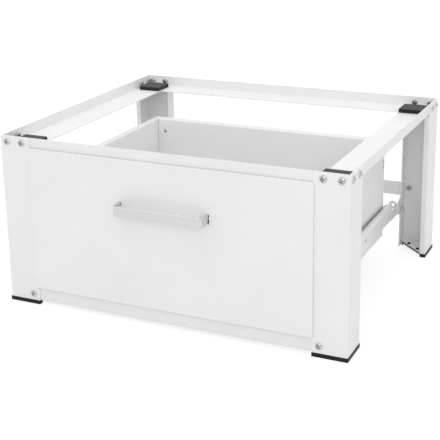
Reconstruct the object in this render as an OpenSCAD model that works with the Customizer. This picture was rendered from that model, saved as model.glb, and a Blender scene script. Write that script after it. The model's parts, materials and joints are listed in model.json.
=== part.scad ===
// Pedestal with one drawer that a washing machine stands on.
// Folded steel legs stand on black feet and carry four angle rails with a rubber pad in each corner.
// The drawer is a double-walled sheet box behind an overlay front, on two ball-bearing slides.
// Millimetres. +X to the right, +Y to the back, +Z up. The origin is on the floor, at the
// centre of the rectangle that the whole object covers.

/* [Frame] */
// Width over the legs
frame_w = 630; // [560:1:760]
// Depth over the legs
frame_d = 534; // [500:1:680]
// Height of the legs' top edges above the floor
frame_h = 304.5; // [285:0.5:400]

/* [Legs] */
// Sheet thickness of the legs
leg_t = 2; // [1.5:0.1:2.5]
// Width of a leg's face and of its side
leg_w = 60; // [58:1:70]
// Inside radius of the legs' bends
leg_bend_in = 0.5; // [0.4:0.1:1]
// Width of the narrow lip at the free edge of a leg's side
leg_lip_w = 10; // [6:0.5:14]
// Depth of the return flange above the slide
return_w = 27; // [25:0.5:32]
// How much deeper the return flange is below the slide
return_step = 5; // [2:0.5:8]
// How much further the slide's wing on the return flange reaches
wing_step = 22; // [6:0.5:24]
// Height of the wing's straight edge
wing_h = 22; // [16:0.5:26]
// Height of the wing's upper corner above the slide's centre line
wing_rise = 5.5; // [0:0.5:8]
// Height of the slope from the wing up to the return flange
wing_slope = 11; // [6:0.5:16]
// Gap between the return flange and the rail above it
return_gap = 2; // [1:0.5:5]
// How far the rear return flanges hang down past the foot
return_drop = 2; // [0.5:0.5:4]
// Gap between that hanging part and the foot
drop_gap = 4; // [2:0.5:8]

/* [Feet] */
// Height of a foot
foot_h = 7; // [4:0.5:12]
// How far a foot sticks out past the leg
foot_out = 0.8; // [0:0.1:2]
// Thickness of a foot's plate and of its walls
foot_t = 3; // [1.5:0.1:3.5]
// Width that is left of a foot at its two cut ends
foot_end_w = 8; // [6:0.5:12]
// Diameter of a foot's snap pins
pin_d = 5; // [3:0.5:6]
// Diameter of a snap pin's head
pin_head_d = 7.5; // [7:0.5:9]
// Height of a snap pin's head
pin_head_h = 3; // [1.5:0.5:4]
// Distance of a snap pin from the near outer face of the leg
pin_near = 19; // [14:0.5:20]
// Distance of a snap pin from the other outer face of the leg
pin_far = 42; // [34:0.5:44]

/* [Top rails] */
// Sheet thickness of the rails
rail_t = 1.5; // [1:0.1:2]
// Width of a rail over its upright lip
rail_w = 58; // [50:1:64]
// Height of a rail's upright lip
rail_lip_h = 20; // [18:0.5:24]
// How far the lip stands above the legs
rail_rise = 1; // [0.5:0.5:3]
// Inside radius of the rails' bends
rail_bend_in = 0.5; // [0.3:0.1:1]
// Distance of the first corner screw from the corner
corner_near = 14; // [13:0.5:16]
// Distance of the second corner screw from the corner
corner_far = 43.5; // [34:0.5:46]
// Depth of the corner screws below the rail's top edge
corner_drop = 10.5; // [9:0.1:11]

/* [Pads] */
// Side length of a pad
pad_w = 45; // [36:1:46]
// Thickness of a pad
pad_h = 7.5; // [3:0.5:8]
// Distance of the pads from the frame's sides
pad_side = 14; // [11:0.5:16]
// Distance of the front pads from the frame's front
pad_front = 11; // [11:0.5:20]
// Distance of the rear pads from the frame's back
pad_back = 21; // [11:0.5:26]

/* [Lower rail and brace] */
// Height of the lower front rail
low_rail_h = 28; // [24:1:34]
// Depth of the lower front rail's two flanges
low_flange = 10; // [6:0.5:12]
// Distance of the lower rail's screws from the frame's sides
low_hole_in = 48; // [36:0.5:50]
// Height of the lower rail's screws above its lower edge
low_hole_up = 12.5; // [11:0.5:16]
// Height of the rear brace's lower edge above the floor
brace_z = 101.5; // [90:0.5:130]
// Height of the rear brace
brace_h = 28; // [24:1:40]
// Sheet thickness of the rear brace
brace_t = 1.5; // [1:0.1:3]
// Distance of the brace's ends from the frame's sides
brace_in = 30; // [10:1:36]
// Distance of the brace's screws from the frame's sides
brace_hole_in = 49; // [44:0.5:50]
// Height of the brace's screws above its lower edge
brace_hole_up = 19; // [8:0.5:20]

/* [Screws] */
// Shank diameter of the frame's screws
screw_d = 6; // [5:0.1:6.5]
// Head diameter of the frame's screws
head_d = 12; // [10:0.5:13]
// Head height of the frame's screws
head_h = 3.2; // [2:0.1:4]
// Width across the flats of the frame's nuts
nut_w = 10; // [9:0.1:10]
// Height of the frame's nuts
nut_h = 5; // [3:0.1:5.5]
// How far a screw's end stands out of its nut
screw_end = 1; // [0.2:0.1:1.5]
// Radial clearance of a shank in the sheets
hole_play = 0.3; // [0.1:0.1:0.6]
// Radial clearance between a shank and its nut
thread_play = 0.15; // [0.05:0.05:0.3]

/* [Slides] */
// Height of a slide's centre line above the floor
slide_z = 95.5; // [92:0.5:120]
// Height of a slide
slide_h = 35; // [35:0.5:45]
// Thickness of a slide
slide_w = 12.7; // [12.7:0.1:14]
// Sheet thickness of the slides
slide_t = 1.2; // [1:0.1:1.3]
// Distance of the slides' front end from the legs' front
slide_front = 12; // [8:1:14]
// Room between a slide's channel and the legs' back
slide_back = 89; // [84:1:110]
// Inside radius of the outer members' bends
slide_bend_in = 1.8; // [1:0.1:2.2]
// Inside radius of the middle and inner members' bends
mid_bend_in = 0.8; // [0.5:0.1:1]
// Room between a middle member's flanges and the inner member's web
mid_room = 1; // [0.6:0.1:1.2]
// Depth of the outer members' flanges
outer_lip = 7; // [6.6:0.1:7.4]
// Height of the outward rims on the middle members' flanges
mid_rim = 3.3; // [2:0.1:3.5]
// Distance of a middle member's front end behind the outer member's
mid_lead = 2; // [0.5:0.5:6]
// Distance of a middle member's rear end in front of the outer member's
mid_lag = 5; // [2:0.5:12]
// How far an inner member sticks out in front of the outer member
inner_lead = 8; // [2:0.5:8]
// Distance of an inner member's rear end in front of the box's back
inner_lag = 2; // [1:0.5:20]
// Distance of a slide's tail from the legs' back
tail_back = 8; // [4:0.5:10]
// Height of the tail's upper edge above the slide's centre line
tail_up = 1; // [0:0.5:2]
// Length of the slope from the channel down to the tail
tail_slope = 4; // [2:0.5:10]
// Distance of the ear from the legs' back
ear_back = 53; // [50:0.5:56]
// Radius of the ear
ear_r = 8; // [7:0.5:9]
// Diameter of the hole in the ear
ear_hole_d = 6.8; // [4:0.1:8]
// Distance of the ear's centre from the leg's return flange
ear_out = 8; // [7:0.5:9]
// Height of the ear's centre above the slide's centre line
ear_up = 3; // [2:0.5:4]
// Gap between the ear and the tail's strip below it
ear_gap = 1; // [0.5:0.1:1.5]
// Diameter of the small holes in the outer members
web_hole_d = 4; // [2:0.5:6]
// Distance of the first of them from the channel's rear end
web_hole_1 = 20; // [10:1:60]
// Distance of the second of them from the channel's rear end
web_hole_2 = 166; // [80:1:180]
// Distance of the third of them from the channel's rear end
web_hole_3 = 196; // [190:1:240]
// Diameter of the slides' balls
ball_d = 3.2; // [2.8:0.1:3.2]
// Radial clearance of the balls between the races
ball_play = 0.2; // [0.1:0.05:0.3]
// Number of balls in a row
ball_count = 8; // [4:1:9]
// Distance between two balls of a row
ball_pitch = 14; // [8:1:14]
// Distance of a cage's ends from its last balls
cage_end = 11; // [4:1:16]
// How far a cage's lip reaches past its balls
cage_rim = 0.6; // [0.3:0.1:0.8]
// Sheet thickness of the ball cages
cage_t = 0.6; // [0.4:0.1:0.7]
// Clearance between the webs of the nested members
web_gap = 0.5; // [0.3:0.05:0.5]
// Distance of the slides' screws from the legs' front and back
slide_hole_in = 28; // [17:0.5:30]
// Height of the rear slide screws above the slide's lower edge
rear_hole_up = 5; // [4:0.5:6]
// Shank diameter of the slides' screws
small_d = 5; // [3:0.1:5]
// Head diameter of the slides' screws
small_head_d = 8; // [7:0.5:9]
// Head height of the slides' screws
small_head_h = 1.3; // [0.8:0.1:1.3]
// Width across the flats of the slides' nuts
small_nut_w = 10; // [7:0.1:10]
// Height of the slides' nuts
small_nut_h = 5; // [2.5:0.1:5]
// Shank diameter of the screws between the slides and the box
runner_d = 3.5; // [3:0.1:4]
// Head diameter of those screws
runner_head_d = 7; // [6:0.5:8]
// Head height of those screws
runner_head_h = 1.8; // [1:0.1:2.5]
// How far those screws reach into the box's hollow side
runner_depth = 5; // [3:0.5:8]
// Distance of the outer ones from the ends of the slides' inner members
runner_in = 36; // [20:1:80]

/* [Drawer box] */
// Height of the box's underside above the floor
box_z = 52; // [48:1:60]
// Room between the box's rim and the top rails
box_top_room = 41; // [20:0.5:80]
// Room between the box and the legs' back
box_back_room = 104; // [98:1:150]
// Sheet thickness of the box
box_t = 1; // [0.8:0.1:1.5]
// Thickness of the box's double side walls
side_wall = 14; // [11:0.5:20]
// Thickness of the box's double back wall
back_wall = 20; // [14:0.5:26]
// Inside radius of the bends at the walls' rims
rim_bend_in = 0.5; // [0.3:0.1:1]
// Gap at the inner corners between the side walls and the back wall
corner_gap = 1.2; // [0.3:0.1:2]
// Width of the tabs behind the back wall's inner sheet
tab_w = 30; // [26:1:40]
// Gap above and below those tabs
tab_gap = 2; // [1:0.5:6]
// Depth of the notch in the rear edge of each side's outer sheet
notch_d = 5; // [2:0.5:8]
// Height of that notch
notch_h = 17; // [8:0.5:24]
// Distance of that notch below the rim
notch_drop = 41; // [30:0.5:60]
// Distance of the rivets from the side walls
rivet_in = 17; // [8:0.5:18]
// Distance of the upper rivets from the rim and of the lower ones from the floor
rivet_edge = 24; // [12:1:40]
// Diameter of a rivet's body
rivet_d = 4; // [3:0.1:5]
// Diameter of a rivet's head
rivet_head_d = 8; // [6.5:0.5:9]
// Height of a rivet's head
rivet_head_h = 1.4; // [0.8:0.1:2]
// Diameter of the hole in a rivet
rivet_bore = 2.4; // [1:0.1:2.6]
// How much thicker a rivet's closed end is than its body
rivet_swell = 2; // [1:0.1:3]

/* [Drawer front] */
// How far the drawer front covers the frame around its opening
panel_over = 2.5; // [1.5:0.1:4]
// Depth of the drawer front over its folded rim
panel_d = 3; // [2.5:0.1:6]
// Sheet thickness of the drawer front
panel_t = 1; // [0.8:0.1:1.5]
// Gap between the closed drawer front and the legs
panel_gap = 0.5; // [0.3:0.1:2]

/* [Handle] */
// Length of the handle
handle_w = 163; // [120:1:260]
// Height of the handle's strip
handle_h = 18; // [14:0.5:26]
// Thickness of the handle's strip
handle_t = 3; // [2:0.1:4]
// Distance from the drawer front to the handle's outer face
handle_out = 27.5; // [24:0.5:40]
// Depth of the handle's centre line below the drawer front's top edge
handle_drop = 80.5; // [30:0.5:120]
// Outside radius of the handle's two large bends
handle_bend = 12; // [5:0.5:14]
// Diameter of the threaded studs on the handle's ends
stud_d = 2.4; // [2:0.1:2.8]
// Distance between the two studs of an end
stud_pitch = 9; // [8:0.5:10]
// Width across the flats of the nuts on those studs
stud_nut_w = 5; // [4.5:0.1:6]
// Height of those nuts
stud_nut_h = 2.4; // [1.5:0.1:3]
// How far a stud's end stands out of its nut
stud_end = 1; // [0.2:0.1:2]

/* [Hidden] */
$fn = 48;
eps = 0.01;
// Gap between sheets that meet edge to edge
seam = 0.2;
WHITE = [0.93, 0.93, 0.92];
BLACK = [0.12, 0.12, 0.12];
STEEL = [0.72, 0.72, 0.7];
SATIN = [0.84, 0.84, 0.85];

leg_bend = leg_t + leg_bend_in;
rail_bend = rail_t + rail_bend_in;
// Heights of the frame's parts
leg_z = foot_h;
rail_top = frame_h + rail_rise;
rail_z = rail_top - rail_lip_h;
seat_z = rail_z + rail_t;
return_top = rail_z - return_gap;
low_rail_z = leg_z;
low_rail_top = low_rail_z + low_rail_h;
corner_z = rail_top - corner_drop;
low_hole_z = low_rail_z + low_hole_up;
brace_hole_z = brace_z + brace_hole_up;
// Where the rails start, measured from the frame's corner
rail_start = leg_t + rail_t + seam;
lip_start = leg_t + leg_bend_in + seam;
side_flange_start = leg_t + rail_w + seam;
// The return flange's outline
return_low_w = return_w + return_step;
wing_w = return_low_w + wing_step;
wing_top = slide_z + wing_rise;
wing_low = wing_top - wing_h;
drop_start = foot_end_w + drop_gap;
// The slide's section: distances from the leg's return flange, and half heights
slide_bend = slide_t + slide_bend_in;
cage_out_web = slide_t + web_gap;
mid_web = cage_out_web + cage_t + web_gap;
cage_in_web = mid_web + slide_t + web_gap;
inner_lip = cage_in_web + cage_t + web_gap;
inner_web = slide_w - slide_t;
mid_lip = inner_web - mid_room;
mid_bend = slide_t + mid_bend_in;
outer_race = slide_h / 2 - slide_t;
row_out = outer_race - ball_play - ball_d / 2;
mid_half = row_out - ball_play - ball_d / 2;
row_in = mid_half - slide_t - ball_play - ball_d / 2;
inner_half = row_in - ball_play - ball_d / 2;
ball_out_at = (slide_bend + outer_lip) / 2;
ball_in_at = (inner_lip + mid_lip) / 2;
// The slide's ends along the depth
outer_y0 = slide_front;
outer_y1 = frame_d - slide_back;
mid_y0 = outer_y0 + mid_lead;
mid_y1 = outer_y1 - mid_lag;
tail_end = frame_d - tail_back;
cage_len = (ball_count - 1) * ball_pitch + 2 * cage_end;
cage_y = (mid_y0 + mid_y1 - cage_len) / 2;
slide_bottom = slide_z - slide_h / 2;
front_hole_z = slide_z;
rear_hole_z = slide_bottom + rear_hole_up;
ear_y = frame_d - ear_back;
ear_low = ear_up - ear_r;
// The drawer's planes: distances from the frame's side, and depths
box_side_x = leg_w + slide_w;
box_w = frame_w - 2 * box_side_x;
inner_w = box_w - 2 * side_wall;
panel_back_y = -panel_gap;
panel_y = panel_back_y - panel_d;
box_y0 = panel_y + panel_t;
wall_y0 = box_y0 + box_t;
box_y1 = frame_d - box_back_room;
wall_y1 = box_y1 - box_t;
back_y0 = box_y1 - back_wall;
wall_z = box_z + box_t;
box_top = rail_z - box_top_room;
rim_bend = box_t + rim_bend_in;
inner_y0 = slide_front - inner_lead;
inner_y1 = box_y1 - inner_lag;
panel_w = frame_w - 2 * leg_w + 2 * panel_over;
panel_z = low_rail_top - panel_over;
panel_top = rail_z + panel_over;
handle_z = panel_top - handle_drop;
handle_y = panel_y - handle_out;
stud_x = (handle_w - handle_t) / 2;
rivet_x = inner_w / 2 - rivet_in;
rivet_zs = [wall_z + rivet_edge, box_top - rivet_edge];
runner_len = inner_y1 - inner_y0;
runner_ys = [inner_y0 + runner_in, inner_y0 + runner_len / 2, inner_y1 - runner_in];
web_holes = [web_hole_1, web_hole_2, web_hole_3];
// Depth of the whole object's centre behind the legs' front
brace_back = frame_d + brace_t + head_h;
centre_y = (brace_back + handle_y) / 2;

// ---------- placing ----------

// Moves a part from the frame's own planes (y = 0 at the legs' front) to the object's origin
module in_place() {
    translate([0, -centre_y, 0]) children();
}

module flip_x(on) {
    if (on) mirror([1, 0, 0]) children();
    else children();
}

module flip_y(on) {
    if (on) mirror([0, 1, 0]) children();
    else children();
}

// From a corner's own axes (both pointing into the frame) to the frame
module at_corner(right, rear) {
    flip_x(right) translate([-frame_w / 2, rear ? frame_d : 0, 0]) flip_y(rear) children();
}

// From distances inward from the frame's side to the frame
module at_side(right) {
    flip_x(right) translate([-frame_w / 2, 0, 0]) children();
}

// Extrudes an outline drawn in (Y, Z) along +X
module along_x(length) {
    rotate([90, 0, 90]) linear_extrude(length) children();
}

// Extrudes an outline drawn in (X, Z) along +Y
module along_y(length) {
    translate([0, length, 0]) rotate([90, 0, 0]) linear_extrude(length) children();
}

// Turns +Z to +Y and to +X
module point_y() {
    rotate([-90, 0, 0]) children();
}

module point_x() {
    rotate([0, 90, 0]) children();
}

// ---------- sheet outlines ----------

// Quarter bend whose outer corner is at the origin, opening towards +X +Y
module bend(outer_r, t) {
    translate([outer_r, outer_r]) intersection() {
        difference() {
            circle(outer_r);
            circle(outer_r - t);
        }
        translate([-outer_r, -outer_r]) square(outer_r);
    }
}

// Angle with its corner at the origin
module angle(a, b, t, outer_r) {
    bend(outer_r, t);
    translate([outer_r, 0]) square([a - outer_r, t]);
    translate([0, outer_r]) square([t, b - outer_r]);
}

// Channel of width w along X with its web on Y = 0 and both flanges towards +Y
module channel(w, flange, t, outer_r) {
    for (far = [false, true]) {
        translate([far ? w : 0, 0]) flip_x(far) {
            bend(outer_r, t);
            translate([0, outer_r]) square([t, flange - outer_r]);
        }
    }
    translate([outer_r, 0]) square([w - 2 * outer_r, t]);
}

// ---------- fasteners, drawn along +Z from the head's underside ----------

module domed_head(d, h) {
    ball_r = (d * d / 4 + h * h) / (2 * h);
    mirror([0, 0, 1]) intersection() {
        translate([0, 0, h - ball_r]) sphere(ball_r, $fn = 64);
        cylinder(d = d + 1, h = h + 1);
    }
}

module cross_slot(d, depth) {
    for (turn = [0, 90]) {
        rotate(turn) cube([d, d / 5, 2 * depth], center = true);
    }
}

module screw(d, length, cap_d, cap_h) {
    difference() {
        domed_head(cap_d, cap_h);
        translate([0, 0, -cap_h]) cross_slot(cap_d * 0.5, cap_h * 0.5);
    }
    translate([0, 0, -eps]) cylinder(d = d, h = length + eps);
}

// Nut with a corner on its own X axis
module nut(width, h, d) {
    difference() {
        cylinder(d = width / cos(30), h = h, $fn = 6);
        translate([0, 0, -1]) cylinder(d = d + 2 * thread_play, h = h + 2);
    }
}

module sheet_hole(d, length) {
    translate([0, 0, -1]) cylinder(d = d + 2 * hole_play, h = length + 2);
}

// ---------- legs and feet ----------

// Runs its children at each of a corner's four screws, with +Z pointing into the frame
module each_corner_screw() {
    for (at = [corner_near, corner_far]) {
        translate([at, 0, corner_z]) point_y() rotate(90) children();
        translate([0, at, corner_z]) point_x() children();
    }
}

// Sides and face without the return flange
module leg_angle(lip) {
    angle(leg_w, leg_w - (lip ? leg_bend : 0), leg_t, leg_bend);
    if (lip) {
        translate([0, leg_w]) mirror([0, 1]) {
            bend(leg_bend, leg_t);
            translate([leg_bend, 0]) square([leg_lip_w - leg_bend, leg_t]);
        }
    }
}

// Sides, face, lip and the bend that the return flange starts from
module leg_channel() {
    difference() {
        leg_angle(true);
        translate([leg_w - leg_bend, -1]) square([leg_bend + 1, leg_t + 2]);
    }
    translate([leg_w, 0]) mirror([1, 0]) bend(leg_bend, leg_t);
}

module return_flange(rear) {
    low = rear ? leg_z : low_rail_top + return_gap;
    along_x(leg_t) polygon([
        [leg_bend, low],
        if (rear) [drop_start, low],
        if (rear) [drop_start, low - return_drop],
        [return_low_w, low - (rear ? return_drop : 0)],
        [return_low_w, wing_low - wing_slope / 2],
        [wing_w, wing_low],
        [wing_w, wing_top],
        [return_w, wing_top + wing_slope],
        [return_w, return_top],
        [leg_bend, return_top]
    ]);
}

module leg(right, rear) {
    channel_z = rear ? leg_z : low_rail_top + return_gap;
    color(WHITE) in_place() at_corner(right, rear) difference() {
        union() {
            if (!rear) {
                translate([0, 0, leg_z]) linear_extrude(channel_z - leg_z) leg_angle(true);
            }
            translate([0, 0, channel_z]) linear_extrude(return_top - channel_z) leg_channel();
            translate([0, 0, return_top]) linear_extrude(frame_h - return_top) leg_angle(false);
            translate([leg_w - leg_t, 0, 0]) return_flange(rear);
            translate([0, 0, leg_z]) linear_extrude(leg_t) polygon([
                [leg_t / 2, leg_t / 2],
                [leg_w - leg_t / 2, leg_t / 2],
                [leg_w - leg_t / 2, foot_end_w],
                [foot_end_w, leg_w - leg_t / 2],
                [leg_t / 2, leg_w - leg_t / 2]
            ]);
        }
        each_corner_screw() sheet_hole(screw_d, leg_t);
        if (rear) {
            translate([brace_hole_in, 0, brace_hole_z]) point_y() sheet_hole(screw_d, leg_t);
        } else {
            translate([low_hole_in, 0, low_hole_z]) point_y() sheet_hole(screw_d, leg_t);
        }
        translate([leg_w - leg_t, slide_hole_in, rear ? rear_hole_z : front_hole_z])
            point_x() sheet_hole(small_d, leg_t);
        each_pin() sheet_hole(pin_d, leg_t);
    }
}

module each_pin() {
    for (at = [[pin_near, pin_far], [pin_far, pin_near]]) {
        translate([at[0], at[1], leg_z]) children();
    }
}

module foot(right, rear) {
    pocket_w = leg_w + foot_out - 2 * foot_t;
    color(BLACK) in_place() at_corner(right, rear) {
        difference() {
            linear_extrude(foot_h) polygon([
                [-foot_out, -foot_out],
                [leg_w, -foot_out],
                [leg_w, foot_end_w],
                [foot_end_w, leg_w],
                [-foot_out, leg_w]
            ]);
            translate([foot_t - foot_out, foot_t - foot_out, -1])
                cube([pocket_w, pocket_w, foot_h - foot_t + 1]);
        }
        each_pin() {
            translate([0, 0, -eps]) cylinder(d = pin_d, h = leg_t + 2 * eps);
            translate([0, 0, leg_t]) rotate([180, 0, 0]) domed_head(pin_head_d, pin_head_h);
        }
    }
}

// ---------- rails, pads and brace ----------

module rail_outline() {
    angle(rail_w, rail_lip_h, rail_t, rail_bend);
}

module cross_rail(rear) {
    length = frame_w - 2 * rail_start;
    color(WHITE) in_place() difference() {
        translate([0, rear ? frame_d : 0, 0]) flip_y(rear)
            translate([-length / 2, leg_t, rail_z]) along_x(length) rail_outline();
        for (right = [false, true]) {
            at_corner(right, rear) each_corner_screw() sheet_hole(screw_d, leg_t + rail_t);
        }
    }
}

module side_rail(right) {
    length = frame_d - 2 * lip_start;
    cut = side_flange_start - lip_start;
    color(WHITE) in_place() difference() {
        at_side(right) translate([leg_t, lip_start, rail_z]) difference() {
            along_y(length) rail_outline();
            for (y = [-1, length - cut]) {
                translate([rail_t, y, -1]) cube([rail_w, cut + 1, rail_bend + 2]);
            }
        }
        for (rear = [false, true]) {
            at_corner(right, rear) each_corner_screw() sheet_hole(screw_d, leg_t + rail_t);
        }
    }
}

module pad(right, rear) {
    color(BLACK) in_place() at_corner(right, rear)
        translate([pad_side, rear ? pad_back : pad_front, seat_z]) cube([pad_w, pad_w, pad_h]);
}

module lower_rail() {
    tab_z = leg_z + leg_t + seam;
    length = frame_w - 2 * (leg_w + seam);
    tab_length = frame_w - 2 * rail_start;
    color(WHITE) in_place() difference() {
        union() {
            translate([-length / 2, leg_t, low_rail_z]) along_x(length)
                mirror([1, 0]) rotate(90) channel(low_rail_h, low_flange, rail_t, rail_bend);
            translate([-tab_length / 2, leg_t, tab_z])
                cube([tab_length, rail_t, low_rail_top - rail_bend - tab_z]);
        }
        each_low_screw() sheet_hole(screw_d, leg_t + rail_t);
    }
}

module each_low_screw() {
    for (right = [false, true]) {
        at_side(right) translate([low_hole_in, 0, low_hole_z]) point_y() rotate(90) children();
    }
}

module rear_brace() {
    length = frame_w - 2 * brace_in;
    color(WHITE) in_place() difference() {
        translate([-length / 2, frame_d, brace_z]) cube([length, brace_t, brace_h]);
        each_brace_screw() sheet_hole(screw_d, brace_t + leg_t);
    }
}

// Runs its children at the brace's screws, with +Z pointing forward from the brace's back
module each_brace_screw() {
    for (right = [false, true]) {
        at_side(right) translate([brace_hole_in, frame_d + brace_t, brace_hole_z])
            mirror([0, 1, 0]) point_y() rotate(90) children();
    }
}

// ---------- the frame's screws and nuts ----------

module frame_screw(sheets) {
    screw(screw_d, sheets + nut_h + screw_end, head_d, head_h);
}

module frame_nut(sheets) {
    translate([0, 0, sheets]) nut(nut_w, nut_h, screw_d);
}

module all_corners() {
    for (right = [false, true], rear = [false, true]) {
        at_corner(right, rear) each_corner_screw() children();
    }
}

module corner_screws() {
    color(STEEL) in_place() all_corners() frame_screw(leg_t + rail_t);
}

module corner_nuts() {
    color(STEEL) in_place() all_corners() frame_nut(leg_t + rail_t);
}

module lower_rail_screws() {
    color(STEEL) in_place() each_low_screw() frame_screw(leg_t + rail_t);
}

module lower_rail_nuts() {
    color(STEEL) in_place() each_low_screw() frame_nut(leg_t + rail_t);
}

module brace_screws() {
    color(STEEL) in_place() each_brace_screw() frame_screw(brace_t + leg_t);
}

module brace_nuts() {
    color(STEEL) in_place() each_brace_screw() frame_nut(brace_t + leg_t);
}

// ---------- slides ----------

// A slide's outline is drawn with X away from the leg's return flange and Y upward
// from the slide's centre line
module at_slide(right, y) {
    at_side(right) translate([leg_w, y, slide_z]) children();
}

module slide_channel(half, lip, outer_r) {
    translate([0, half]) rotate(-90) channel(2 * half, lip, slide_t, outer_r);
}

// Flat tail of the outer member: it carries the rear screw
module slide_tail() {
    half = slide_h / 2;
    polygon([
        [outer_y1, -half],
        [tail_end, -half],
        [tail_end, ear_low - ear_gap],
        [ear_y - slide_bend, ear_low - ear_gap],
        [ear_y - slide_bend, tail_up],
        [outer_y1 + tail_slope, tail_up],
        [outer_y1, half]
    ]);
}

// Round ear with a hole that is bent from the tail towards the drawer
module slide_ear() {
    difference() {
        union() {
            translate([0, ear_y, ear_low]) linear_extrude(tail_up - ear_low)
                mirror([0, 1]) angle(ear_out, slide_bend + eps, slide_t, slide_bend);
            translate([ear_out, ear_y - slide_t, ear_up]) point_y() cylinder(r = ear_r, h = slide_t);
        }
        translate([ear_out, ear_y - slide_t - 1, ear_up]) point_y()
            cylinder(d = ear_hole_d, h = slide_t + 2);
    }
}

module slide_outer(right) {
    color(STEEL) in_place() difference() {
        at_slide(right, 0) difference() {
            union() {
                translate([0, outer_y0, 0]) along_y(outer_y1 - outer_y0)
                    slide_channel(slide_h / 2, outer_lip, slide_bend);
                along_x(slide_t) slide_tail();
                slide_ear();
            }
            for (back = web_holes) {
                translate([-1, outer_y1 - back, 0]) point_x()
                    cylinder(d = web_hole_d, h = slide_t + 2);
            }
        }
        each_slide_screw(right) sheet_hole(small_d, slide_t);
    }
}

// Runs its children at a slide's two screws, with +Z pointing towards the leg
module each_slide_screw(right) {
    for (at = [[slide_hole_in, front_hole_z], [frame_d - slide_hole_in, rear_hole_z]]) {
        at_side(right) translate([leg_w + slide_t, at[0], at[1]]) mirror([1, 0, 0]) point_x() children();
    }
}

module slide_screws() {
    color(STEEL) in_place() for (right = [false, true]) {
        each_slide_screw(right)
            screw(small_d, slide_t + leg_t + small_nut_h + screw_end, small_head_d, small_head_h);
    }
}

module slide_nuts() {
    color(STEEL) in_place() for (right = [false, true]) {
        each_slide_screw(right) translate([0, 0, slide_t + leg_t]) nut(small_nut_w, small_nut_h, small_d);
    }
}

// The outward rims on its flanges show between the outer member and the box
module slide_middle(right) {
    rim = slide_t + mid_rim;
    rim_centre = mid_half + mid_rim - rim / 2;
    color(STEEL) in_place() at_slide(right, mid_y0) along_y(mid_y1 - mid_y0) {
        translate([mid_web, 0]) slide_channel(mid_half, mid_lip - mid_web, mid_bend);
        for (side = [-1, 1]) {
            translate([mid_lip - slide_t, side * rim_centre - rim / 2]) square([slide_t, rim]);
        }
    }
}

module slide_inner(right) {
    color(STEEL) in_place() difference() {
        at_slide(right, inner_y0) translate([slide_w, 0, 0]) mirror([1, 0, 0])
            along_y(runner_len) slide_channel(inner_half, slide_w - inner_lip, mid_bend);
        each_runner_screw(right) sheet_hole(runner_d, slide_t);
    }
}

// Runs its children at the screws of a slide's inner member, with +Z pointing into the drawer
module each_runner_screw(right) {
    for (y = runner_ys) {
        at_side(right) translate([box_side_x - slide_t, y, slide_z]) point_x() children();
    }
}

module runner_screws() {
    color(STEEL) in_place() for (right = [false, true]) {
        each_runner_screw(right)
            screw(runner_d, slide_t + box_t + runner_depth, runner_head_d, runner_head_h);
    }
}

// Runs its children at each ball of the two rows of a cage
module each_ball(right, at, row) {
    for (n = [0 : ball_count - 1], side = [-1, 1]) {
        at_slide(right, cage_y + cage_len / 2 + (n - (ball_count - 1) / 2) * ball_pitch)
            translate([at, 0, side * row]) children();
    }
}

module cages(web, at, row) {
    lip = at + ball_d / 2 + cage_rim - web;
    half = row + cage_t / 2;
    color(STEEL) in_place() for (right = [false, true]) {
        difference() {
            at_slide(right, cage_y) translate([web, 0, 0]) along_y(cage_len) difference() {
                translate([0, -half]) square([lip, 2 * half]);
                translate([cage_t, -half + cage_t]) square([lip, 2 * (half - cage_t)]);
            }
            each_ball(right, at, row) cylinder(d = ball_d + 2 * ball_play, h = 4 * cage_t, center = true);
        }
    }
}

module balls(at, row) {
    color(STEEL) in_place() for (right = [false, true]) {
        each_ball(right, at, row) sphere(d = ball_d, $fn = 24);
    }
}

module outer_cages() {
    cages(cage_out_web, ball_out_at, row_out);
}

module outer_balls() {
    balls(ball_out_at, row_out);
}

module inner_cages() {
    cages(cage_in_web, ball_in_at, row_in);
}

module inner_balls() {
    balls(ball_in_at, row_in);
}

// ---------- drawer box ----------

module box_floor() {
    color(WHITE) in_place()
        translate([-box_w / 2, wall_y0, box_z]) cube([box_w, box_y1 - wall_y0, box_t]);
}

module box_front() {
    color(WHITE) in_place() difference() {
        translate([-box_w / 2, box_y0, box_z]) cube([box_w, box_t, box_top - box_z]);
        each_stud() sheet_hole(stud_d, panel_t + box_t);
    }
}

// Double wall: two sheets of one folded blank, joined by the rim
module double_wall(thickness) {
    translate([0, box_top]) mirror([0, 1]) channel(thickness, box_top - wall_z, box_t, rim_bend);
}

module box_side(right) {
    color(WHITE) in_place() difference() {
        at_side(right) translate([box_side_x, 0, 0]) {
            translate([0, wall_y0, 0]) along_y(wall_y1 - wall_y0) double_wall(side_wall);
            translate([side_wall - box_t / 2, back_y0 + box_t, wall_z + tab_gap])
                cube([tab_w, box_t, box_top - rim_bend - wall_z - 2 * tab_gap]);
        }
        at_side(right) translate([box_side_x - 1, wall_y1 - notch_d, box_top - notch_drop - notch_h])
            cube([box_t + 2, notch_d + 1, notch_h]);
        each_rivet() sheet_hole(rivet_d, 2 * box_t);
        each_runner_screw(right) sheet_hole(runner_d, slide_t + box_t);
    }
}

module box_back() {
    length = inner_w - 2 * corner_gap;
    color(WHITE) in_place() difference() {
        union() {
            translate([-length / 2, back_y0, 0]) along_x(length) double_wall(back_wall);
            translate([-box_w / 2, wall_y1, wall_z]) cube([box_w, box_t, box_top - rim_bend - wall_z]);
        }
        each_rivet() sheet_hole(rivet_d, 2 * box_t);
    }
}

// Runs its children at each rivet, with +Z pointing to the back
module each_rivet() {
    for (side = [-1, 1], z = rivet_zs) {
        translate([side * rivet_x, back_y0, z]) point_y() children();
    }
}

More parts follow.
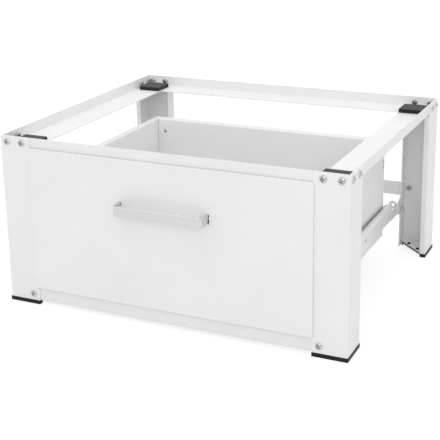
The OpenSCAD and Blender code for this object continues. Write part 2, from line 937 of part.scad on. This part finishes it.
module box_rivets() {
    color(STEEL) in_place() each_rivet() difference() {
        union() {
            domed_head(rivet_head_d, rivet_head_h);
            translate([0, 0, -eps]) cylinder(d = rivet_d, h = 2 * box_t + 2 * eps);
            translate([0, 0, 2 * box_t]) rotate([180, 0, 0])
                domed_head(rivet_d + rivet_swell, rivet_swell);
        }
        translate([0, 0, -rivet_head_h - 1]) cylinder(d = rivet_bore, h = rivet_head_h + 1 + box_t);
    }
}

// ---------- drawer front and handle ----------

module drawer_panel() {
    height = panel_top - panel_z;
    color(WHITE) in_place() difference() {
        translate([-panel_w / 2, panel_y, panel_z]) difference() {
            cube([panel_w, panel_d, height]);
            translate([panel_t, panel_t, panel_t])
                cube([panel_w - 2 * panel_t, panel_d, height - 2 * panel_t]);
        }
        each_stud() sheet_hole(stud_d, panel_t);
    }
}

// One half of the handle's strip, seen from above: X from the middle, Y out from the drawer front
module handle_half() {
    translate([handle_w / 2, handle_out]) rotate(180) {
        bend(handle_bend, handle_t);
        translate([handle_bend, 0]) square([handle_w / 2 - handle_bend, handle_t]);
        translate([0, handle_bend]) square([handle_t, handle_out - handle_bend]);
    }
}

module drawer_handle() {
    color(SATIN) in_place() {
        translate([0, panel_y, handle_z - handle_h / 2]) linear_extrude(handle_h) mirror([0, 1]) {
            handle_half();
            mirror([1, 0]) handle_half();
        }
        each_stud() translate([0, 0, -eps])
            cylinder(d = stud_d, h = panel_t + box_t + stud_nut_h + stud_end + eps);
    }
}

// Runs its children at the studs of the handle's ends, with +Z pointing to the back
module each_stud() {
    for (side = [-1, 1], up = [-1, 1]) {
        translate([side * stud_x, panel_y, handle_z + up * stud_pitch / 2]) point_y() children();
    }
}

module handle_nuts() {
    color(STEEL) in_place() each_stud()
        translate([0, 0, panel_t + box_t]) nut(stud_nut_w, stud_nut_h, stud_d);
}

leg(false, false);  // leg_front_left
leg(true, false);  // leg_front_right
leg(false, true);  // leg_rear_left
leg(true, true);  // leg_rear_right
foot(false, false);  // foot_front_left
foot(true, false);  // foot_front_right
foot(false, true);  // foot_rear_left
foot(true, true);  // foot_rear_right
cross_rail(false);  // top_rail_front
cross_rail(true);  // top_rail_rear
side_rail(false);  // top_rail_left
side_rail(true);  // top_rail_right
pad(false, false);  // pad_front_left
pad(true, false);  // pad_front_right
pad(false, true);  // pad_rear_left
pad(true, true);  // pad_rear_right
lower_rail();
rear_brace();
corner_screws();
corner_nuts();
lower_rail_screws();
lower_rail_nuts();
brace_screws();
brace_nuts();
slide_outer(false);  // slide_outer_left
slide_outer(true);  // slide_outer_right
slide_screws();
slide_nuts();
slide_middle(false);  // slide_middle_left
slide_middle(true);  // slide_middle_right
outer_cages();
outer_balls();
inner_cages();
inner_balls();
slide_inner(false);  // slide_inner_left
slide_inner(true);  // slide_inner_right
runner_screws();
drawer_panel();
drawer_handle();
handle_nuts();
box_front();
box_floor();
box_side(false);  // box_side_left
box_side(true);  // box_side_right
box_back();
box_rivets();
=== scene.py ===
import json
import math

import bmesh
import bpy
from mathutils import Matrix, Vector

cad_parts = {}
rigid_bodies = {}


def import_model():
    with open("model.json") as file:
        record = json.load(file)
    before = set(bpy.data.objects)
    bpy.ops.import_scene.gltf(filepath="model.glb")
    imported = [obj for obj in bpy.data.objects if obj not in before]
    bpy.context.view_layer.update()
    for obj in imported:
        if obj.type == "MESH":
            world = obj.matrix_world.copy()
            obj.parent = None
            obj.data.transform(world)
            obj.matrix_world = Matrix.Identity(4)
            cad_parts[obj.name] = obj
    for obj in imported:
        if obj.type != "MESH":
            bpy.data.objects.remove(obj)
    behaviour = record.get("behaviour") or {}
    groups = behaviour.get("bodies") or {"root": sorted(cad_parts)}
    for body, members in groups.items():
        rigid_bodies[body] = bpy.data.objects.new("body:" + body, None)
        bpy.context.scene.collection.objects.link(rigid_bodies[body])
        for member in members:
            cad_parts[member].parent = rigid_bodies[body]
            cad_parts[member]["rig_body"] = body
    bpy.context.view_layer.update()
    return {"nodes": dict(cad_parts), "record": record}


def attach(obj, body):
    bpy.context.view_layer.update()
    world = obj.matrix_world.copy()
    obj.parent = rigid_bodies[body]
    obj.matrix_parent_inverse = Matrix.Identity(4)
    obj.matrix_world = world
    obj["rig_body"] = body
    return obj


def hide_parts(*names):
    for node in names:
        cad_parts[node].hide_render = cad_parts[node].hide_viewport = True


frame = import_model()
NODE_BODY = {n: o["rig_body"] for n, o in frame["nodes"].items()}
NODE_SLOT = {p["node"]: p["material_slot"] for p in frame["record"]["subparts"]}

MM = 0.001      # metres in a millimetre
SAME = 2e-6     # points this near each other are one point, in metres
LEVEL = 1e-5    # points this near a plane lie on it, in metres

# The camera: place in metres, directions in degrees, the sensor and lens in millimetres
CAMERA_AT = (0.7721, -1.6822, 0.7742)
CAMERA_YAW, CAMERA_PITCH, CAMERA_ROLL = 25.127, 16.197, -1.02
SENSOR_WIDTH = 36
LENS = 86.5
SHIFT_UP = -0.15    # the photograph is a crop of a taller picture
CLIP_NEAR, CLIP_FAR = 0.05, 60

# The range that holds most of a noise's values
NOISE_LOW, NOISE_HIGH = 0.3, 0.7

# Painted shade in pits and narrow corners: its grey where less than the first share of the
# surroundings is open, and none from the second share on
PIT_SAMPLES = 8
PIT_SHADE_GREY = 0.04
PIT_DEEP, PIT_OPEN = 0.3, 0.8

# The floor: half its side and its gap under the feet in metres, and its greys
FLOOR_REACH = 12
FLOOR_GAP = 0.5 * MM
FLOOR_GREY = 0.8    # for the light that it throws back on the object
SEEN_GREY = 0.3     # for the shadow that the camera sees on it
SEEN_GLOW = 0.78    # brings the part without shadow up to white
WORLD_FILL = 0.85
CARD_GREY = 0.01
CARD_ROUGHNESS = 0.9

# Edges and bends of the CAD nodes' shapes
FLAT_ANGLE = 0.5      # degrees between faces that are one flat face
SMOOTH_ANGLE = 35     # degrees up to which the shading runs across an edge
BEVEL_ANGLE = 40      # degrees from which an edge is rounded
FOLD_LENGTH = 100 * MM
FOLD_STEPS = 5

# A pan head with a cross recess, as shares of its radius or height
HEAD_POINTS = 64
HEAD_STEPS = 18
HEAD_TOP = 0.97       # radius of the domed top
HEAD_POWER = 2.6      # shape of the dome
HEAD_EDGE = 0.3       # height at which the dome ends
HEAD_CORNER = 0.65    # the part of that height that is a straight edge
RIM_BAND = 0.98       # radius from which a point is on the head's rim
CROSS_ARM = 0.17      # half the width of an arm
CROSS_REACH = 0.6     # length of an arm
CROSS_FADE = 0.09     # width of the recess's slope
CROSS_DEPTH = 0.75
CROSS_RISE = 0.3      # how much less deep an arm is at its end
CROSS_TURN = 37       # degrees from one screw's recess to the next

# A screw's thread, as shares of the shank's radius or of the pitch
THREADS_PER_RADIUS = 3
THREAD_STEPS = 4
THREAD_DEPTH = 0.55
TIP_LENGTH = 0.2
TIP_RADIUS = 0.72
SCREW_SHARP = 40      # degrees

# A hexagon nut, as shares of its width over the flats or of its bore's radius
NUT_POINTS = 48
NUT_FACE = 0.47       # radius of the round end face
NUT_LEAD = 0.12       # chamfer of the bore
NUT_CHAMFER = 30      # degrees
NUT_THREAD_STEPS = 16
NUT_THREAD = 0.06
NUT_SHARP = 24        # degrees
HALF_SIDE = math.pi / 6


# ---------- camera ----------

def make_camera():
    """The photograph's viewpoint, fitted to the object's corners."""
    data = bpy.data.cameras.new("camera")
    cam = bpy.data.objects.new("camera", data)
    bpy.context.scene.collection.objects.link(cam)
    yaw, pitch, roll = (math.radians(a) for a in (CAMERA_YAW, CAMERA_PITCH, CAMERA_ROLL))
    level = math.cos(pitch)
    d = Vector((-math.sin(yaw) * level, math.cos(yaw) * level, -math.sin(pitch)))
    r = d.cross(Vector((0, 0, 1))).normalized()
    u = r.cross(d)
    right = math.cos(roll) * r + math.sin(roll) * u
    up = -math.sin(roll) * r + math.cos(roll) * u
    turn = Matrix((right, up, -d)).transposed().to_4x4()
    cam.matrix_world = Matrix.Translation(CAMERA_AT) @ turn
    data.sensor_width = SENSOR_WIDTH
    data.lens = LENS
    data.shift_y = SHIFT_UP
    data.clip_start, data.clip_end = CLIP_NEAR, CLIP_FAR
    bpy.context.scene.camera = cam


# ---------- materials ----------

def new_material(name):
    """A node material that holds only its Principled shader."""
    m = bpy.data.materials.new(name)
    m.use_nodes = True
    tree = m.node_tree
    tree.nodes.clear()
    out = tree.nodes.new("ShaderNodeOutputMaterial")
    shader = tree.nodes.new("ShaderNodeBsdfPrincipled")
    tree.links.new(shader.outputs["BSDF"], out.inputs["Surface"])
    return m, tree, shader


def noise(tree, scale, detail, stretch=(1, 1, 1)):
    """Noise fixed to the object, with scale in features per metre."""
    place = tree.nodes.new("ShaderNodeTexCoord")
    mapping = tree.nodes.new("ShaderNodeMapping")
    mapping.inputs["Scale"].default_value = stretch
    tex = tree.nodes.new("ShaderNodeTexNoise")
    tex.inputs["Scale"].default_value = scale
    tex.inputs["Detail"].default_value = detail
    tree.links.new(place.outputs["Object"], mapping.inputs["Vector"])
    tree.links.new(mapping.outputs["Vector"], tex.inputs["Vector"])
    return tex.outputs["Fac"]


def spread(tree, value, low, high):
    """A noise's values, brought to the range from low to high."""
    node = tree.nodes.new("ShaderNodeMapRange")
    node.inputs["From Min"].default_value = NOISE_LOW
    node.inputs["From Max"].default_value = NOISE_HIGH
    node.inputs["To Min"].default_value = low
    node.inputs["To Max"].default_value = high
    tree.links.new(value, node.inputs["Value"])
    return node.outputs["Result"]


def ramp(tree, value, *stops):
    """A value as a colour between two stops, each a place and its colour."""
    node = tree.nodes.new("ShaderNodeValToRGB")
    for element, (place, colour) in zip(node.color_ramp.elements, stops):
        element.position = place
        element.color = (*colour, 1)
    tree.links.new(value, node.inputs["Fac"])
    return node.outputs["Color"]


def tones(tree, value, dark, light):
    """A noise as a colour from dark to light."""
    return ramp(tree, value, (NOISE_LOW, dark), (NOISE_HIGH, light))


def bump(tree, height, strength, distance, below=None):
    """Relief from a height, over the relief below it if there is one."""
    node = tree.nodes.new("ShaderNodeBump")
    node.inputs["Strength"].default_value = strength
    node.inputs["Distance"].default_value = distance
    tree.links.new(height, node.inputs["Height"])
    if below is not None:
        tree.links.new(below, node.inputs["Normal"])
    return node.outputs["Normal"]


def white_paint():
    """Powder coat: a fine orange peel over sheet that isn't quite flat.

    The noises are its cloudy tone, its patchy gloss, the sheet's waves and the peel."""
    m, t, s = new_material("white_powder_coat")
    tone = tones(t, noise(t, 14, 3), (0.843, 0.842, 0.84), (0.872, 0.87, 0.868))
    t.links.new(tone, s.inputs["Base Color"])
    t.links.new(spread(t, noise(t, 40, 2), 0.36, 0.46), s.inputs["Roughness"])
    waves = bump(t, noise(t, 9, 1), 0.25, 0.6 * MM)
    peel = bump(t, noise(t, 900, 2), 0.12, 0.05 * MM, waves)
    t.links.new(peel, s.inputs["Normal"])
    s.inputs["Specular IOR Level"].default_value = 0.45
    return m


def painted_pit_shade(tree, colour, reach, alone):
    """Painted shade: darkens a colour in pits and narrow corners up to the given size.

    Where it isn't alone, the neighbouring pieces make corners too."""
    pits = tree.nodes.new("ShaderNodeAmbientOcclusion")
    pits.samples = PIT_SAMPLES
    pits.only_local = alone
    pits.inputs["Distance"].default_value = reach
    shade_tint = ramp(tree, pits.outputs["AO"], (PIT_DEEP, (PIT_SHADE_GREY, PIT_SHADE_GREY, PIT_SHADE_GREY)),
                (PIT_OPEN, (1, 1, 1)))
    mix = tree.nodes.new("ShaderNodeMix")
    mix.data_type = "RGBA"
    mix.blend_type = "MULTIPLY"
    # A colour mix has its factor at input 0, its colours at 6 and 7 and its result at output 2
    mix.inputs[0].default_value = 1
    tree.links.new(colour, mix.inputs[6])
    tree.links.new(shade_tint, mix.inputs[7])
    return mix.outputs[2]


def metal(name, dark, light, rough, grain, stretch=(1, 1, 1), peel=0.1, metallic=1.0,
          pits=0, alone=True):
    """Metal with a grain, which a stretch below 1 draws out along that axis."""
    m, t, s = new_material(name)
    lines = noise(t, grain, 4, stretch)
    colour = tones(t, lines, dark, light)
    # Painted shade: the colour is darkened in pits and narrow corners up to this reach
    if pits:
        colour = painted_pit_shade(t, colour, pits, alone)
    t.links.new(colour, s.inputs["Base Color"])
    t.links.new(spread(t, lines, *rough), s.inputs["Roughness"])
    t.links.new(bump(t, lines, peel, 0.08 * MM), s.inputs["Normal"])
    s.inputs["Metallic"].default_value = metallic
    return m


def dark_mould(name, dark, light, rough, grain, shine):
    """Moulded rubber or plastic with a fine stipple."""
    m, t, s = new_material(name)
    t.links.new(tones(t, noise(t, 60, 3), dark, light), s.inputs["Base Color"])
    fine = noise(t, grain, 3)
    t.links.new(spread(t, fine, *rough), s.inputs["Roughness"])
    t.links.new(bump(t, fine, 0.35, 0.2 * MM), s.inputs["Normal"])
    s.inputs["Specular IOR Level"].default_value = shine
    return m


def make_materials():
    """One material for each slot of the record."""
    return {
        "white_steel": white_paint(),
        # The slides get painted shade in the corners that neighbouring pieces make with them
        "slide_steel": metal(
            "slide_zinc", (0.75, 0.755, 0.76), (0.85, 0.85, 0.85), rough=(0.3, 0.42),
            grain=60, stretch=(1, 0.06, 1), metallic=0.25, pits=6 * MM, alone=False),
        # The screws and nuts get painted shade in their recesses and corners
        "screw_steel": metal(
            "screw_chrome", (0.44, 0.44, 0.43), (0.64, 0.64, 0.63), rough=(0.12, 0.22),
            grain=400, pits=2 * MM),
        "nut_steel": metal(
            "nut_zinc", (0.55, 0.55, 0.53), (0.78, 0.78, 0.75), rough=(0.16, 0.28),
            grain=300, pits=2 * MM),
        "handle_metal": metal(
            "handle_satin", (0.63, 0.632, 0.635), (0.67, 0.672, 0.675), rough=(0.16, 0.24),
            grain=120, stretch=(0.05, 1, 1), peel=0.03, metallic=0.7),
        "pad_rubber": dark_mould(
            "pad_rubber", (0.005, 0.0051, 0.0053), (0.011, 0.0112, 0.0115),
            rough=(0.42, 0.54), grain=1400, shine=0.36),
        "foot_plastic": dark_mould(
            "foot_plastic", (0.008, 0.008, 0.0084), (0.015, 0.015, 0.0155),
            rough=(0.4, 0.52), grain=900, shine=0.2),
    }


# ---------- floor and light ----------

def in_scene(name, data):
    """A new object in the scene."""
    obj = bpy.data.objects.new(name, data)
    bpy.context.scene.collection.objects.link(obj)
    return obj


def grid_mesh(name, cells, reach, stretch=(1, 1)):
    """A flat grid whose sides are at reach times stretch from its middle."""
    bm = bmesh.new()
    bmesh.ops.create_grid(bm, x_segments=cells, y_segments=cells, size=reach)
    bmesh.ops.scale(bm, vec=(*stretch, 1), verts=bm.verts)
    mesh = bpy.data.meshes.new(name)
    bm.to_mesh(mesh)
    bm.free()
    return mesh


def aim_at(obj, place, aim):
    """Puts a lamp or a card in its place, facing the aim."""
    obj.location = place
    obj.rotation_mode = "QUATERNION"
    obj.rotation_quaternion = (Vector(aim) - Vector(place)).to_track_quat("-Z", "Y")


def largest(tree, *values):
    """The larger of two values."""
    node = tree.nodes.new("ShaderNodeMath")
    node.operation = "MAXIMUM"
    for value, socket in zip(values, node.inputs):
        tree.links.new(value, socket)
    return node.outputs["Value"]


def mixed(tree, share, first, second):
    """Two shaders mixed, with the second one's share."""
    mix = tree.nodes.new("ShaderNodeMixShader")
    tree.links.new(share, mix.inputs["Fac"])
    tree.links.new(first, mix.inputs[1])
    tree.links.new(second, mix.inputs[2])
    return mix.outputs["Shader"]


def grey_diffuse(tree, grey):
    """A matt grey shader."""
    node = tree.nodes.new("ShaderNodeBsdfDiffuse")
    node.inputs["Color"].default_value = (grey, grey, grey, 1)
    return node.outputs["BSDF"]


def make_floor():
    """Pale floor that camera and gloss see as white with a soft shadow."""
    mesh = grid_mesh("floor", 8, FLOOR_REACH)
    floor = in_scene("floor", mesh)
    floor.location.z = -FLOOR_GAP
    m = bpy.data.materials.new("floor")
    m.use_nodes = True
    t = m.node_tree
    t.nodes.clear()
    out = t.nodes.new("ShaderNodeOutputMaterial")
    path = t.nodes.new("ShaderNodeLightPath")
    seen = largest(t, path.outputs["Is Camera Ray"], path.outputs["Is Glossy Ray"])
    plain = grey_diffuse(t, FLOOR_GREY)
    glow = t.nodes.new("ShaderNodeEmission")
    glow.inputs["Strength"].default_value = SEEN_GLOW
    added = t.nodes.new("ShaderNodeAddShader")
    t.links.new(grey_diffuse(t, SEEN_GREY), added.inputs[0])
    t.links.new(glow.outputs["Emission"], added.inputs[1])
    t.links.new(mixed(t, seen, plain, added.outputs["Shader"]), out.inputs["Surface"])
    mesh.materials.append(m)


def white_background(tree, strength):
    """White light from all around."""
    node = tree.nodes.new("ShaderNodeBackground")
    node.inputs["Color"].default_value = (1, 1, 1, 1)
    node.inputs["Strength"].default_value = strength
    return node.outputs["Background"]


def make_world():
    """White to camera, gloss and glass, and a plain fill for everything else."""
    world = bpy.data.worlds.new("studio")
    bpy.context.scene.world = world
    world.use_nodes = True
    t = world.node_tree
    t.nodes.clear()
    out = t.nodes.new("ShaderNodeOutputWorld")
    path = t.nodes.new("ShaderNodeLightPath")
    seen = largest(t, path.outputs["Is Camera Ray"], path.outputs["Is Glossy Ray"])
    clear = largest(t, seen, path.outputs["Is Transmission Ray"])
    fill, white = white_background(t, WORLD_FILL), white_background(t, 1)
    t.links.new(mixed(t, clear, fill, white), out.inputs["Surface"])


def lamp(name, place, aim, size, power):
    """Rectangular soft light, with its size in metres and its power in watts."""
    data = bpy.data.lights.new(name, "AREA")
    data.shape = "RECTANGLE"
    data.size, data.size_y = size
    data.energy = power
    aim_at(in_scene(name, data), place, aim)


def flag(name, place, aim, size):
    """Black card that only shows as a dark patch in glossy metal."""
    mesh = grid_mesh(name, 2, 0.5, size)
    card = in_scene(name, mesh)
    aim_at(card, place, aim)
    card.visible_camera = False
    card.visible_diffuse = False
    card.visible_transmission = False
    card.visible_shadow = False
    m, _, s = new_material(name)
    s.inputs["Base Color"].default_value = (CARD_GREY, CARD_GREY, CARD_GREY, 1)
    s.inputs["Roughness"].default_value = CARD_ROUGHNESS
    mesh.materials.append(m)


# ---------- pieces ----------

def as_piece(node, name, mesh):
    """Puts a detailed mesh in the place of a CAD node."""
    obj = in_scene(name, mesh)
    mesh.materials.clear()
    mesh.materials.append(MATERIALS[NODE_SLOT[node]])
    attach(obj, NODE_BODY[node])
    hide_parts(node)
    return obj


def welded(mesh):
    """A mesh with its double points joined, ready for edits."""
    bm = bmesh.new()
    bm.from_mesh(mesh)
    bmesh.ops.remove_doubles(bm, verts=bm.verts, dist=SAME)
    return bm


def shade_smooth(bm, mesh, sharp):
    """Writes the edited mesh, smooth but for edges sharper than so many degrees."""
    for f in bm.faces:
        f.smooth = True
    bm.to_mesh(mesh)
    bm.free()
    mesh.set_sharp_from_angle(angle=math.radians(sharp))


def edged(node, width, segments=2, fold=0):
    """A CAD node's shape with its sharp edges rounded by a narrow bevel.

    A fold is the outside radius of the bends around its front face."""
    mesh = frame["nodes"][node].data.copy()
    mesh.name = node + "_edged"
    bm = welded(mesh)
    bmesh.ops.dissolve_limit(
        bm, angle_limit=math.radians(FLAT_ANGLE), verts=bm.verts, edges=bm.edges)
    if fold:
        front = min(v.co.y for v in bm.verts)
        bends = [e for e in bm.edges if e.calc_length() > FOLD_LENGTH
                 and all(abs(v.co.y - front) < LEVEL for v in e.verts)]
        bmesh.ops.bevel(
            bm, geom=bends, offset=fold, segments=FOLD_STEPS, profile=0.5, affect="EDGES")
    shade_smooth(bm, mesh, SMOOTH_ANGLE)
    obj = as_piece(node, node + "_edged", mesh)
    mod = obj.modifiers.new("edges", "BEVEL")
    mod.width = width
    mod.segments = segments
    mod.limit_method = "ANGLE"
    mod.angle_limit = math.radians(BEVEL_ANGLE)
    mod.use_clamp_overlap = False
    mod.harden_normals = not fold
    if fold:
        flat = obj.modifiers.new("flat_faces", "WEIGHTED_NORMAL")
        flat.keep_sharp = True


def solids_of(node):
    """The separate solids of a CAD node, each as a list of its points."""
    bm = welded(frame["nodes"][node].data)
    bm.verts.ensure_lookup_table()
    seen = set()
    found = []
    for first in bm.verts:
        if first.index in seen:
            continue
        seen.add(first.index)
        points, todo = [], [first]
        while todo:
            vert = todo.pop()
            points.append(vert.co.copy())
            for edge in vert.link_edges:
                other = edge.other_vert(vert)
                if other.index not in seen:
                    seen.add(other.index)
                    todo.append(other)
        found.append(points)
    bm.free()
    return found


def extent(points):
    """Lowest corner, highest corner and middle of the points' box."""
    low = Vector([min(p[k] for p in points) for k in range(3)])
    high = Vector([max(p[k] for p in points) for k in range(3)])
    return low, high, (low + high) / 2


def off_axis(point, centre, k):
    """Distance of a point from the line through the centre along axis k."""
    return math.sqrt(sum((point[i] - centre[i]) ** 2 for i in range(3) if i != k))


def turned_frame(centre, k, level, forward, across):
    """Placement on axis k through the centre, at a level on that axis.

    Its Z points along the axis, and its X as near to across as it can."""
    origin = centre.copy()
    origin[k] = level
    z = Vector([0, 0, 0])
    z[k] = 1 if forward else -1
    x = (across - across.dot(z) * z).normalized()
    turn = Matrix((x, z.cross(x), z)).transposed().to_4x4()
    return Matrix.Translation(origin) @ turn


def angles_of(count):
    """Angles of the points of a ring."""
    return [2 * math.pi * j / count for j in range(count)]


def polar(r, a, z):
    """A point by its radius, its angle and its height."""
    return Vector((r * math.cos(a), r * math.sin(a), z))


def circle(r, z, angles):
    """A round ring of points at one height."""
    return [polar(r, a, z) for a in angles]


def skin(bm, place, rings, start=None, end=None, loop=False):
    """Joins rings of points with faces; start and end are points that close the ends."""
    rows = [[bm.verts.new(place @ p) for p in ring] for ring in rings]
    pairs = list(zip(rows, rows[1:]))
    if loop:
        pairs.append((rows[-1], rows[0]))
    count = len(rows[0])
    for one, two in pairs:
        for j in range(count):
            bm.faces.new((one[j], one[(j + 1) % count], two[(j + 1) % count], two[j]))
    for point, row, flip in ((start, rows[0], True), (end, rows[-1], False)):
        if point is None:
            continue
        tip = bm.verts.new(place @ point)
        for j in range(count):
            side = (row[j], row[(j + 1) % count])
            bm.faces.new((tip, side[1], side[0]) if flip else (tip, side[0], side[1]))


def finish_piece(bm, node, sharp):
    """Turns the skinned rings into the piece that stands for a CAD node."""
    bmesh.ops.recalc_face_normals(bm, faces=bm.faces)
    mesh = bpy.data.meshes.new(node + "_detail")
    shade_smooth(bm, mesh, sharp)
    as_piece(node, node + "_detail", mesh)


def soft_step(value, width):
    """0 below zero, 1 above the width, and a smooth rise between them."""
    t = min(max(value / width, 0.0), 1.0)
    return t * t * (3 - 2 * t)


def recess(x, y, cap_r, cap_h):
    """Depth of the cross recess in a screw's head."""
    reach = CROSS_REACH * cap_r
    fade = CROSS_FADE * cap_r
    near, far = min(abs(x), abs(y)), max(abs(x), abs(y))
    beside = soft_step(CROSS_ARM * cap_r + fade / 2 - near, fade)
    depth = beside * soft_step(reach - far, fade)
    return cap_h * (CROSS_DEPTH - CROSS_RISE * far / reach) * depth


def screw_rings(cap_r, cap_h, shank_r, length, turn):
    """Rings of a pan head with a cross recess, and of its threaded shank."""
    angles = angles_of(HEAD_POINTS)
    edge = HEAD_EDGE * cap_h
    rings = []
    for i in range(1, HEAD_STEPS + 1):
        r = cap_r * HEAD_TOP * i / HEAD_STEPS
        top = cap_h - (cap_h - edge) * (r / cap_r) ** HEAD_POWER
        ring = []
        for a in angles:
            sink = recess(r * math.cos(a + turn), r * math.sin(a + turn), cap_r, cap_h)
            ring.append(polar(r, a, sink - top))
        rings.append(ring)
    for r, z in ((cap_r, -HEAD_CORNER * edge), (cap_r, 0), (shank_r, 0)):
        rings.append(circle(r, z, angles))
    pitch = shank_r / THREADS_PER_RADIUS
    rows = int(length / pitch * THREAD_STEPS)
    for i in range(1, rows):
        z = (length - shank_r * TIP_LENGTH) * i / rows
        ring = []
        for a in angles:
            phase = (z / pitch - a / (2 * math.pi)) % 1
            ring.append(polar(shank_r - THREAD_DEPTH * pitch * abs(2 * phase - 1), a, z))
        rings.append(ring)
    rings.append(circle(TIP_RADIUS * shank_r, length, angles))
    return rings


def detailed_screws(node):
    """Screws with a cross recess and a thread, where the CAD node has its plain ones."""
    bm = bmesh.new()
    for n, points in enumerate(solids_of(node)):
        low, high, centre = extent(points)
        size = high - low
        k = min(range(3), key=lambda i: abs(size[(i + 1) % 3] - size[(i + 2) % 3]))
        cap_r = max(off_axis(p, centre, k) for p in points)
        rim = [p[k] for p in points if off_axis(p, centre, k) > RIM_BAND * cap_r]
        under = sum(rim) / len(rim)
        forward = abs(under - low[k]) < abs(under - high[k])
        head, far = (low[k], high[k]) if forward else (high[k], low[k])
        shank_r = max(off_axis(p, centre, k) for p in points if abs(p[k] - far) < LEVEL)
        across = Vector((0, 0, 1)) if k != 2 else Vector((1, 0, 0))
        place = turned_frame(centre, k, under, forward, across)
        cap_h, length = abs(under - head), abs(far - under)
        rings = screw_rings(cap_r, cap_h, shank_r, length, math.radians(CROSS_TURN) * n)
        bottom = Vector((0, 0, (CROSS_DEPTH - 1) * cap_h))
        skin(bm, place, rings, bottom, Vector((0, 0, length)))
    finish_piece(bm, node, SCREW_SHARP)


def nut_rings(flats, height, bore):
    """Closed loop of rings around a chamfered hexagon nut with a thread in its bore."""
    angles = angles_of(NUT_POINTS)
    inner = NUT_FACE * flats
    lead = NUT_LEAD * bore
    slope = math.tan(math.radians(NUT_CHAMFER))
    lower, upper = [], []
    for a in angles:
        r = flats / 2 / math.cos(a % (2 * HALF_SIDE) - HALF_SIDE)
        drop = (r - inner) * slope
        lower.append(polar(r, a, drop))
        upper.append(polar(r, a, height - drop))
    rings = [circle(bore + lead, 0, angles), circle(inner, 0, angles), lower, upper,
             circle(inner, height, angles), circle(bore + lead, height, angles)]
    for i in range(NUT_THREAD_STEPS + 1):
        z = height - lead - (height - 2 * lead) * i / NUT_THREAD_STEPS
        groove = NUT_THREAD * bore if i % 2 else 0
        rings.append(circle(bore + groove, z, angles))
    return rings


def detailed_nuts(node):
    """Chamfered hexagon nuts where the CAD node has plain ones."""
    bm = bmesh.new()
    for points in solids_of(node):
        low, high, centre = extent(points)
        size = high - low
        k = min(range(3), key=lambda i: size[i])
        reach = [(off_axis(p, centre, k), p) for p in points]
        corner_r, corner = max(reach, key=lambda pair: pair[0])
        bore = min(pair[0] for pair in reach)
        place = turned_frame(centre, k, low[k], True, corner - centre)
        rings = nut_rings(2 * corner_r * math.cos(HALF_SIDE), size[k], bore)
        skin(bm, place, rings, loop=True)
    finish_piece(bm, node, NUT_SHARP)


def each(stem, places):
    """Names of the nodes with one stem, at the given places."""
    return [stem + "_" + place for place in places.split()]


def dress():
    """Gives every node its material, and the nodes with edges or threads their detail."""
    for node, obj in frame["nodes"].items():
        obj.data.materials.clear()
        obj.data.materials.append(MATERIALS[NODE_SLOT[node]])
    corners = "front_left front_right rear_left rear_right"
    sheet = (each("leg", corners) + each("top_rail", "front rear left right")
             + ["lower_rail", "rear_brace"]
             + each("box", "side_left side_right back front"))
    for node in sheet:
        edged(node, 0.3 * MM)
    edged("drawer_panel", 0.2 * MM, fold=1 * MM)
    edged("drawer_handle", 1.4 * MM, segments=4)
    for node in each("pad", corners):
        edged(node, 0.8 * MM, segments=3)
    for node in each("foot", corners):
        edged(node, 0.5 * MM)
    slides = each("slide", "outer_left outer_right middle_left middle_right "
                           "inner_left inner_right")
    for node in slides + ["box_rivets"]:
        edged(node, 0.15 * MM)
    for node in ("outer_balls", "inner_balls"):
        edged(node, 0.02 * MM, segments=1)
    for joint in ("corner", "lower_rail", "brace", "slide", "runner"):
        detailed_screws(joint + "_screws")
    for joint in ("corner", "lower_rail", "brace", "slide", "handle"):
        detailed_nuts(joint + "_nuts")


bpy.context.scene.view_settings.view_transform = "Standard"
make_camera()
make_floor()
make_world()
# The key light stands at the front right, and the edge light draws the bright line on the
# handle's upper edge. The cards give the screws and nuts something dark to mirror.
lamp("key", (1.1, -2.2, 1.4), (0, 0, 0.15), (1.8, 1.2), 8.7)
lamp("top", (0, 0, 2.6), (0, 0, 0), (2.4, 2.4), 11.2)
lamp("edge", (-1.36, -1.42, 2.6), (0, -0.29, 0.14), (0.9, 0.6), 3.6)
flag("dark_right", (2.0, -1.1, 0.7), (0, 0, 0.2), (0.9, 1.6))
flag("dark_front", (-0.2, -2.4, 0.5), (0, 0, 0.2), (0.5, 0.9))
MATERIALS = make_materials()
dress()
